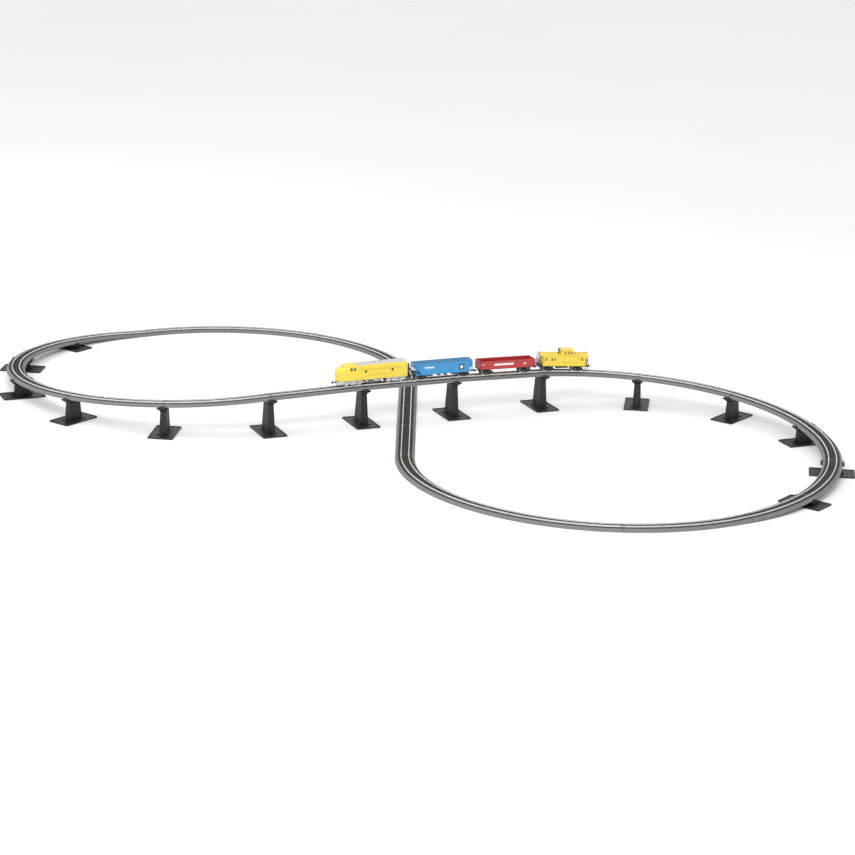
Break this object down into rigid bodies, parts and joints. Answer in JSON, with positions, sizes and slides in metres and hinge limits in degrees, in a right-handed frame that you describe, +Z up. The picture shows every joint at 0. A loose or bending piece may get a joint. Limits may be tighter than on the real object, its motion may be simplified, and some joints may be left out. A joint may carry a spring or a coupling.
{
  "type": "model train set",
  "caption": "Electric model train of cab locomotive, covered hopper, open gondola and caboose on figure-eight roadbed track that crosses itself on graduated piers.",
  "frame": {"origin": "on the floor under the crossing, which is the centre of the layout", "axes": "+X along the long way of the figure-eight, towards the loop the caboose is on; +Z up"},
  "size_m": [2.1574, 1.0344, 0.1466],
  "materials": {
    "roadbed_grey": "moulded, slightly granular",
    "rail_metal": "drawn, bright top",
    "joiner_metal": "pressed",
    "pier_black": "moulded",
    "wheel_metal": "turned",
    "truck_black": "moulded",
    "truck_silver": "painted silver",
    "coupler_black": "moulded",
    "loco_yellow": "satin paint",
    "window_clear": "clear",
    "chassis_metal": "painted black",
    "motor_metal": "plain",
    "shaft_brass": "turned",
    "hopper_blue": "satin paint",
    "roof_teal": "satin paint",
    "underframe_black": "moulded",
    "gondola_red": "satin paint",
    "caboose_yellow": "satin paint"
  },
  "bodies": {
    "layout": {"left_loop_rails": "rail_metal", "left_loop_roadbeds": "roadbed_grey", "lower_straight_roadbeds": "roadbed_grey", "pier_pair_1": "pier_black", "pier_pair_2": "pier_black", "pier_pair_3": "pier_black", "pier_pair_4": "pier_black", "pier_pair_5": "pier_black", "pier_pair_6": "pier_black", "pier_pair_7": "pier_black", "rail_joiners": "joiner_metal", "right_loop_rails": "rail_metal", "right_loop_roadbeds": "roadbed_grey", "straight_rails": "rail_metal", "upper_straight_roadbeds": "roadbed_grey"},
    "locomotive": {"loco_shell": "loco_yellow", "loco_glazing": "window_clear", "loco_chassis": "chassis_metal", "loco_motor": "motor_metal"},
    "drive_shaft": {"loco_drive_shaft": "shaft_brass"},
    "locomotive_front_truck": {"loco_front_truck": "truck_silver"},
    "locomotive_front_leading_wheelset": {"loco_front_leading_wheelset": "wheel_metal"},
    "locomotive_front_trailing_wheelset": {"loco_front_trailing_wheelset": "wheel_metal"},
    "locomotive_rear_truck": {"loco_rear_truck": "truck_silver"},
    "locomotive_rear_leading_wheelset": {"loco_rear_leading_wheelset": "wheel_metal"},
    "locomotive_rear_trailing_wheelset": {"loco_rear_trailing_wheelset": "wheel_metal"},
    "locomotive_front_coupler": {"loco_front_coupler": "coupler_black"},
    "locomotive_rear_coupler": {"loco_rear_coupler": "coupler_black"},
    "hopper": {"hopper_body": "hopper_blue", "hopper_roof": "roof_teal", "hopper_underframe": "underframe_black"},
    "hopper_front_truck": {"hopper_front_truck": "truck_black"},
    "hopper_front_leading_wheelset": {"hopper_front_leading_wheelset": "wheel_metal"},
    "hopper_front_trailing_wheelset": {"hopper_front_trailing_wheelset": "wheel_metal"},
    "hopper_rear_truck": {"hopper_rear_truck": "truck_black"},
    "hopper_rear_leading_wheelset": {"hopper_rear_leading_wheelset": "wheel_metal"},
    "hopper_rear_trailing_wheelset": {"hopper_rear_trailing_wheelset": "wheel_metal"},
    "hopper_front_coupler": {"hopper_front_coupler": "coupler_black"},
    "hopper_rear_coupler": {"hopper_rear_coupler": "coupler_black"},
    "gondola": {"gondola_body": "gondola_red", "gondola_underframe": "underframe_black"},
    "gondola_front_truck": {"gondola_front_truck": "truck_black"},
    "gondola_front_leading_wheelset": {"gondola_front_leading_wheelset": "wheel_metal"},
    "gondola_front_trailing_wheelset": {"gondola_front_trailing_wheelset": "wheel_metal"},
    "gondola_rear_truck": {"gondola_rear_truck": "truck_black"},
    "gondola_rear_leading_wheelset": {"gondola_rear_leading_wheelset": "wheel_metal"},
    "gondola_rear_trailing_wheelset": {"gondola_rear_trailing_wheelset": "wheel_metal"},
    "gondola_front_coupler": {"gondola_front_coupler": "coupler_black"},
    "gondola_rear_coupler": {"gondola_rear_coupler": "coupler_black"},
    "caboose": {"caboose_body": "caboose_yellow", "caboose_roof": "caboose_yellow", "caboose_underframe": "underframe_black"},
    "caboose_front_truck": {"caboose_front_truck": "truck_black"},
    "caboose_front_leading_wheelset": {"caboose_front_leading_wheelset": "wheel_metal"},
    "caboose_front_trailing_wheelset": {"caboose_front_trailing_wheelset": "wheel_metal"},
    "caboose_rear_truck": {"caboose_rear_truck": "truck_black"},
    "caboose_rear_leading_wheelset": {"caboose_rear_leading_wheelset": "wheel_metal"},
    "caboose_rear_trailing_wheelset": {"caboose_rear_trailing_wheelset": "wheel_metal"},
    "caboose_front_coupler": {"caboose_front_coupler": "coupler_black"},
    "caboose_rear_coupler": {"caboose_rear_coupler": "coupler_black"}
  },
  "joints": [
    {"name": "locomotive_lift_off", "type": "slide", "parent": "layout", "child": "locomotive", "axis": [0, 0, 1], "range_m": [0, 0.12]},
    {"name": "drive_shaft_spin", "type": "hinge", "parent": "locomotive", "child": "drive_shaft", "pos_m": [-0.05357, -0.07143, 0.12061], "axis": [-0.6, -0.8, -0.0056], "continuous": true},
    {"name": "locomotive_front_truck_swivel", "type": "hinge", "parent": "locomotive", "child": "locomotive_front_truck", "pos_m": [-0.08476, -0.11302, 0.09431], "axis": [-0.0131, -0.0175, 0.9998], "range_deg": [-0.8, 0.8]},
    {"name": "locomotive_front_leading_wheelset_spin", "type": "hinge", "parent": "locomotive_front_truck", "child": "locomotive_front_leading_wheelset", "pos_m": [-0.09429, -0.12572, 0.09987], "axis": [0.8, -0.6, 0], "continuous": true},
    {"name": "locomotive_front_trailing_wheelset_spin", "type": "hinge", "parent": "locomotive_front_truck", "child": "locomotive_front_trailing_wheelset", "pos_m": [-0.0754, -0.10053, 0.10056], "axis": [0.8, -0.6, 0], "continuous": true},
    {"name": "locomotive_rear_truck_swivel", "type": "hinge", "parent": "locomotive", "child": "locomotive_rear_truck", "pos_m": [-0.0222, -0.0296, 0.0949], "axis": [0, 0, 1], "range_deg": [-0.8, 0.8]},
    {"name": "locomotive_rear_leading_wheelset_spin", "type": "hinge", "parent": "locomotive_rear_truck", "child": "locomotive_rear_leading_wheelset", "pos_m": [-0.03165, -0.0422, 0.1008], "axis": [0.8, -0.6, 0], "continuous": true},
    {"name": "locomotive_rear_trailing_wheelset_spin", "type": "hinge", "parent": "locomotive_rear_truck", "child": "locomotive_rear_trailing_wheelset", "pos_m": [-0.01275, -0.017, 0.1008], "axis": [0.8, -0.6, 0], "continuous": true},
    {"name": "locomotive_front_coupler_swing", "type": "hinge", "parent": "locomotive", "child": "locomotive_front_coupler", "pos_m": [-0.10391, -0.13855, 0.10403], "axis": [-0.0034, -0.0045, 1], "range_deg": [-12, 12]},
    {"name": "locomotive_rear_coupler_swing", "type": "hinge", "parent": "locomotive", "child": "locomotive_rear_coupler", "pos_m": [-0.00792, -0.01056, 0.10493], "axis": [0.0013, 0.0017, 1], "range_deg": [-0.5, 0.5]},
    {"name": "hopper_lift_off", "type": "slide", "parent": "layout", "child": "hopper", "axis": [0, 0, 1], "range_m": [0, 0.12]},
    {"name": "hopper_front_truck_swivel", "type": "hinge", "parent": "hopper", "child": "hopper_front_truck", "pos_m": [0.0192, 0.0256, 0.0949], "axis": [0, 0, 1], "range_deg": [-1, 1]},
    {"name": "hopper_front_leading_wheelset_spin", "type": "hinge", "parent": "hopper_front_truck", "child": "hopper_front_leading_wheelset", "pos_m": [0.0132, 0.0176, 0.0998], "axis": [0.8, -0.6, 0], "continuous": true},
    {"name": "hopper_front_trailing_wheelset_spin", "type": "hinge", "parent": "hopper_front_truck", "child": "hopper_front_trailing_wheelset", "pos_m": [0.0252, 0.0336, 0.0998], "axis": [0.8, -0.6, 0], "continuous": true},
    {"name": "hopper_rear_truck_swivel", "type": "hinge", "parent": "hopper", "child": "hopper_rear_truck", "pos_m": [0.08293, 0.11058, 0.09438], "axis": [0.0131, 0.0175, 0.9998], "range_deg": [-1, 1]},
    {"name": "hopper_rear_leading_wheelset_spin", "type": "hinge", "parent": "hopper_rear_truck", "child": "hopper_rear_leading_wheelset", "pos_m": [0.077, 0.10267, 0.0995], "axis": [0.8, -0.6, 0], "continuous": true},
    {"name": "hopper_rear_trailing_wheelset_spin", "type": "hinge", "parent": "hopper_rear_truck", "child": "hopper_rear_trailing_wheelset", "pos_m": [0.089, 0.11866, 0.09906], "axis": [0.8, -0.6, 0], "continuous": true},
    {"name": "hopper_front_coupler_swing", "type": "hinge", "parent": "hopper", "child": "hopper_front_coupler", "pos_m": [0.0109, 0.01453, 0.10487], "axis": [0.0013, 0.0017, 1], "range_deg": [-0.5, 0.5]},
    {"name": "hopper_rear_coupler_swing", "type": "hinge", "parent": "hopper", "child": "hopper_rear_coupler", "pos_m": [0.0913, 0.12173, 0.10421], "axis": [0.0176, 0.0235, 0.9996], "range_deg": [-0.5, 0.5]},
    {"name": "gondola_lift_off", "type": "slide", "parent": "layout", "child": "gondola", "axis": [0, 0, 1], "range_m": [0, 0.12]},
    {"name": "gondola_front_truck_swivel", "type": "hinge", "parent": "gondola", "child": "gondola_front_truck", "pos_m": [0.11952, 0.15937, 0.09305], "axis": [0.0131, 0.0175, 0.9998], "range_deg": [-1, 1]},
    {"name": "gondola_front_leading_wheelset_spin", "type": "hinge", "parent": "gondola_front_truck", "child": "gondola_front_leading_wheelset", "pos_m": [0.11359, 0.15145, 0.09816], "axis": [0.8, -0.6, 0], "continuous": true},
    {"name": "gondola_front_trailing_wheelset_spin", "type": "hinge", "parent": "gondola_front_truck", "child": "gondola_front_trailing_wheelset", "pos_m": [0.12559, 0.16745, 0.09773], "axis": [0.8, -0.6, 0], "continuous": true},
    {"name": "gondola_rear_truck_swivel", "type": "hinge", "parent": "gondola", "child": "gondola_rear_truck", "pos_m": [0.17831, 0.23775, 0.0909], "axis": [0.0131, 0.0175, 0.9998], "range_deg": [-1, 1]},
    {"name": "gondola_rear_leading_wheelset_spin", "type": "hinge", "parent": "gondola_rear_truck", "child": "gondola_rear_leading_wheelset", "pos_m": [0.17238, 0.22984, 0.09602], "axis": [0.8, -0.6, 0], "continuous": true},
    {"name": "gondola_rear_trailing_wheelset_spin", "type": "hinge", "parent": "gondola_rear_truck", "child": "gondola_rear_trailing_wheelset", "pos_m": [0.18437, 0.24583, 0.09558], "axis": [0.8, -0.6, 0], "continuous": true},
    {"name": "gondola_front_coupler_swing", "type": "hinge", "parent": "gondola", "child": "gondola_front_coupler", "pos_m": [0.11006, 0.14674, 0.10329], "axis": [0.0176, 0.0235, 0.9996], "range_deg": [-0.5, 0.5]},
    {"name": "gondola_rear_coupler_swing", "type": "hinge", "parent": "gondola", "child": "gondola_rear_coupler", "pos_m": [0.18804, 0.25072, 0.10045], "axis": [0.0157, 0.0067, 0.9999], "range_deg": [-0.5, 0.5]},
    {"name": "caboose_lift_off", "type": "slide", "parent": "layout", "child": "caboose", "axis": [0, 0, 1], "range_m": [0, 0.12]},
    {"name": "caboose_front_truck_swivel", "type": "hinge", "parent": "caboose", "child": "caboose_front_truck", "pos_m": [0.21503, 0.28585, 0.08912], "axis": [0.0431, 0.0339, 0.9985], "range_deg": [-1, 1]},
    {"name": "caboose_front_leading_wheelset_spin", "type": "hinge", "parent": "caboose_front_truck", "child": "caboose_front_leading_wheelset", "pos_m": [0.20901, 0.27821, 0.09455], "axis": [0.7808, -0.6246, -0.0126], "continuous": true},
    {"name": "caboose_front_trailing_wheelset_spin", "type": "hinge", "parent": "caboose_front_truck", "child": "caboose_front_trailing_wheelset", "pos_m": [0.22147, 0.29382, 0.09348], "axis": [0.7808, -0.6246, -0.0126], "continuous": true},
    {"name": "caboose_rear_truck_swivel", "type": "hinge", "parent": "caboose", "child": "caboose_rear_truck", "pos_m": [0.2656, 0.33959, 0.08511], "axis": [0.0431, 0.0339, 0.9985], "range_deg": [-1, 1]},
    {"name": "caboose_rear_leading_wheelset_spin", "type": "hinge", "parent": "caboose_rear_truck", "child": "caboose_rear_leading_wheelset", "pos_m": [0.2584, 0.33306, 0.09055], "axis": [0.6702, -0.7422, -0.0038], "continuous": true},
    {"name": "caboose_rear_trailing_wheelset_spin", "type": "hinge", "parent": "caboose_rear_truck", "child": "caboose_rear_trailing_wheelset", "pos_m": [0.27322, 0.34645, 0.08946], "axis": [0.6702, -0.7422, -0.0038], "continuous": true},
    {"name": "caboose_front_coupler_swing", "type": "hinge", "parent": "caboose", "child": "caboose_front_coupler", "pos_m": [0.20174, 0.2716, 0.1001], "axis": [0.0157, 0.0067, 0.9999], "range_deg": [-0.5, 0.5]},
    {"name": "caboose_rear_coupler_swing", "type": "hinge", "parent": "caboose", "child": "caboose_rear_coupler", "pos_m": [0.27975, 0.3545, 0.09391], "axis": [0.0431, 0.0339, 0.9985], "range_deg": [-12, 12]}
  ],
  "couplings": [
    {"joint": "locomotive_front_leading_wheelset_spin", "follows": "drive_shaft_spin", "ratio": 0.071429},
    {"joint": "locomotive_front_trailing_wheelset_spin", "follows": "drive_shaft_spin", "ratio": 0.071429},
    {"joint": "locomotive_rear_leading_wheelset_spin", "follows": "drive_shaft_spin", "ratio": 0.071429},
    {"joint": "locomotive_rear_trailing_wheelset_spin", "follows": "drive_shaft_spin", "ratio": 0.071429}
  ]
}
